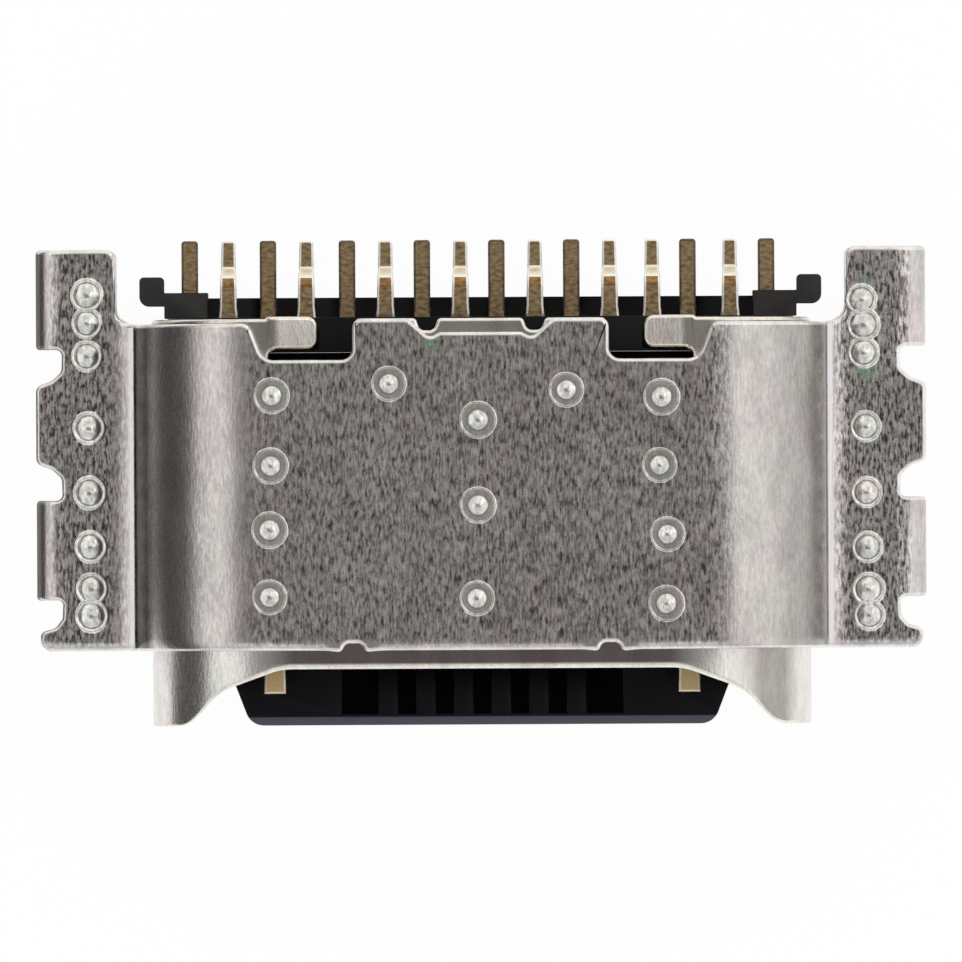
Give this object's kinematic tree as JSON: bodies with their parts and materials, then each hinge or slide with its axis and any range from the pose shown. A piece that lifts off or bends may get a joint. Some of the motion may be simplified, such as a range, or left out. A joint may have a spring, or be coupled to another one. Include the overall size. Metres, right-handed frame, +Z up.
{
  "type": "usb-c socket",
  "caption": "Flat oval connector socket of folded sheet metal, sunk into a board: flanges and legs at its sides, a contact tongue inside and a row of solder tails behind.",
  "frame": {"origin": "middle of the mouth, at the foremost edge of the shell", "axes": "+X across the socket, -Y out of the mouth towards the plug, +Z up, away from the board"},
  "size_m": [0.0118, 0.0064, 0.0034],
  "materials": {
    "shell_steel": "satin",
    "cover_steel": "brushed lengthwise",
    "contact_gold": "satin",
    "black_plastic": "matte"
  },
  "bodies": {
    "root": {"inner_shell": "shell_steel", "upper_cover": "cover_steel", "lower_bracket": "cover_steel", "shield_plate": "shell_steel", "upper_ground_plate": "shell_steel", "lower_ground_plate": "shell_steel", "upper_contact_1": "contact_gold", "upper_contact_2": "contact_gold", "upper_contact_3": "contact_gold", "upper_contact_4": "contact_gold", "upper_contact_5": "contact_gold", "upper_contact_6": "contact_gold", "upper_contact_7": "contact_gold", "upper_contact_8": "contact_gold", "lower_contact_1": "contact_gold", "lower_contact_2": "contact_gold", "lower_contact_3": "contact_gold", "lower_contact_4": "contact_gold", "lower_contact_5": "contact_gold", "lower_contact_6": "contact_gold", "lower_contact_7": "contact_gold", "lower_contact_8": "contact_gold", "tongue_moulding": "black_plastic", "upper_wafer": "black_plastic", "lower_wafer": "black_plastic"}
  },
  "joints": []
}
